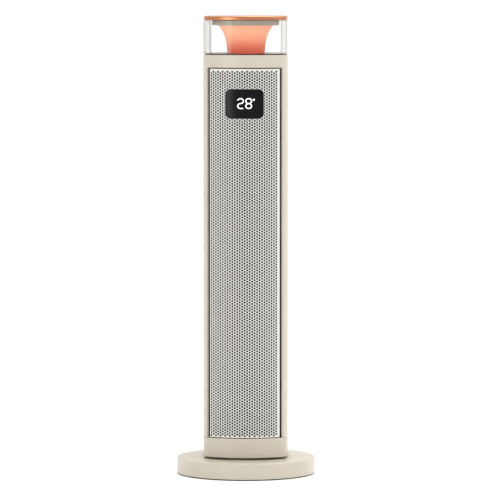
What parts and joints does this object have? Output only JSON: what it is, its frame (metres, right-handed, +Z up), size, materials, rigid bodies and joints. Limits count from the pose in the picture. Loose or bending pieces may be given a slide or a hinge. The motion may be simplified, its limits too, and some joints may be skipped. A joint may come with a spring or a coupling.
{
  "type": "ceramic tower heater",
  "caption": "Oscillating ceramic tower heater: round weighted base, tall column with perforated grille and display, clear lit crown with a funnel and lid.",
  "frame": {"origin": "on the floor, under the middle of the round base", "axes": "+Z up along the column, -Y towards the front where the grille and display face, +X to the left of someone looking out from the heater"},
  "size_m": [0.2, 0.2, 0.661],
  "materials": {
    "shell": "warm off-white moulded plastic, satin",
    "grille": "pale satin powder coat",
    "copper": "copper-coloured satin lacquer",
    "clear": "clear thick acrylic",
    "funnel": "translucent orange, lit from inside",
    "black_glass": "black gloss",
    "grey": "warm grey moulded plastic",
    "dark": "dark moulded plastic",
    "white": "natural white moulded plastic",
    "rubber": "matt black rubber",
    "steel": "zinc-plated steel",
    "cast_iron": "rough cast",
    "aluminium": "mill finish sheet",
    "ceramic": "fired white ceramic",
    "board": "green solder mask"
  },
  "bodies": {
    "base": {"base_cover": "shell", "base_plate": "dark", "ballast_ring": "cast_iron", "rubber_foot_1": "rubber", "rubber_foot_2": "rubber", "rubber_foot_3": "rubber", "rubber_foot_4": "rubber", "base_screw_1": "steel", "base_screw_2": "steel", "base_screw_3": "steel", "glide_ring": "white", "swing_gear_cup": "white", "tip_switch": "dark", "cord_gland": "rubber"},
    "column": {"turntable": "dark", "spindle_clip": "steel", "swing_motor": "steel", "bottom_collar": "shell", "front_frame": "shell", "rear_housing": "shell", "housing_screw_1": "steel", "housing_screw_2": "steel", "housing_screw_3": "steel", "housing_screw_4": "steel", "front_grille": "grille", "display_window": "black_glass", "display_tray": "dark", "display_board": "board", "top_deck": "dark", "led_board": "board", "crown": "clear", "funnel": "funnel", "lid_seat": "grey", "touch_board": "board", "lid": "copper", "touch_panel": "black_glass", "lower_bulkhead": "grey", "upper_bulkhead": "grey", "fan_motor": "steel", "upper_bush": "rubber", "scroll_guide": "grey", "scroll_tongue": "grey", "heater_frame": "white", "fin_bank_1": "aluminium", "fin_bank_2": "aluminium", "fin_bank_3": "aluminium", "ceramic_bar_1": "ceramic", "ceramic_bar_2": "ceramic", "thermal_cutout": "dark", "control_board": "board", "rocker_bezel": "dark"},
    "swing_pinion": {"swing_pinion": "white"},
    "impeller": {"impeller": "dark", "motor_shaft": "steel", "impeller_pin": "steel"},
    "power_rocker": {"power_rocker": "dark"},
    "filter_cover": {"filter_cover": "shell", "filter_mesh": "dark"},
    "tip_plunger": {"tip_plunger": "dark"}
  },
  "joints": [
    {"name": "column_swing", "type": "hinge", "parent": "base", "child": "column", "pos_m": [0, 0, 0.025], "axis": [0, 0, 1], "range_deg": [-35, 35]},
    {"name": "swing_pinion_turn", "type": "hinge", "parent": "column", "child": "swing_pinion", "pos_m": [0, 0.0192, 0.02], "axis": [0, 0, 1], "range_deg": [-141, 141]},
    {"name": "impeller_spin", "type": "hinge", "parent": "column", "child": "impeller", "pos_m": [0, 0.012, 0.307], "axis": [0, 0, 1], "continuous": true},
    {"name": "rocker_press", "type": "hinge", "parent": "column", "child": "power_rocker", "pos_m": [0, 0.056, 0.086], "axis": [1, 0, 0], "range_deg": [0, 20]},
    {"name": "filter_lift", "type": "slide", "parent": "column", "child": "filter_cover", "axis": [0, 1, 0], "range_m": [0, 0.06]},
    {"name": "tip_plunger_travel", "type": "slide", "parent": "base", "child": "tip_plunger", "axis": [0, 0, 1], "range_m": [-0.005, 0], "stiffness_N_per_m": 60, "springref_m": -0.015}
  ],
  "couplings": [
    {"joint": "swing_pinion_turn", "follows": "column_swing", "ratio": -4}
  ]
}
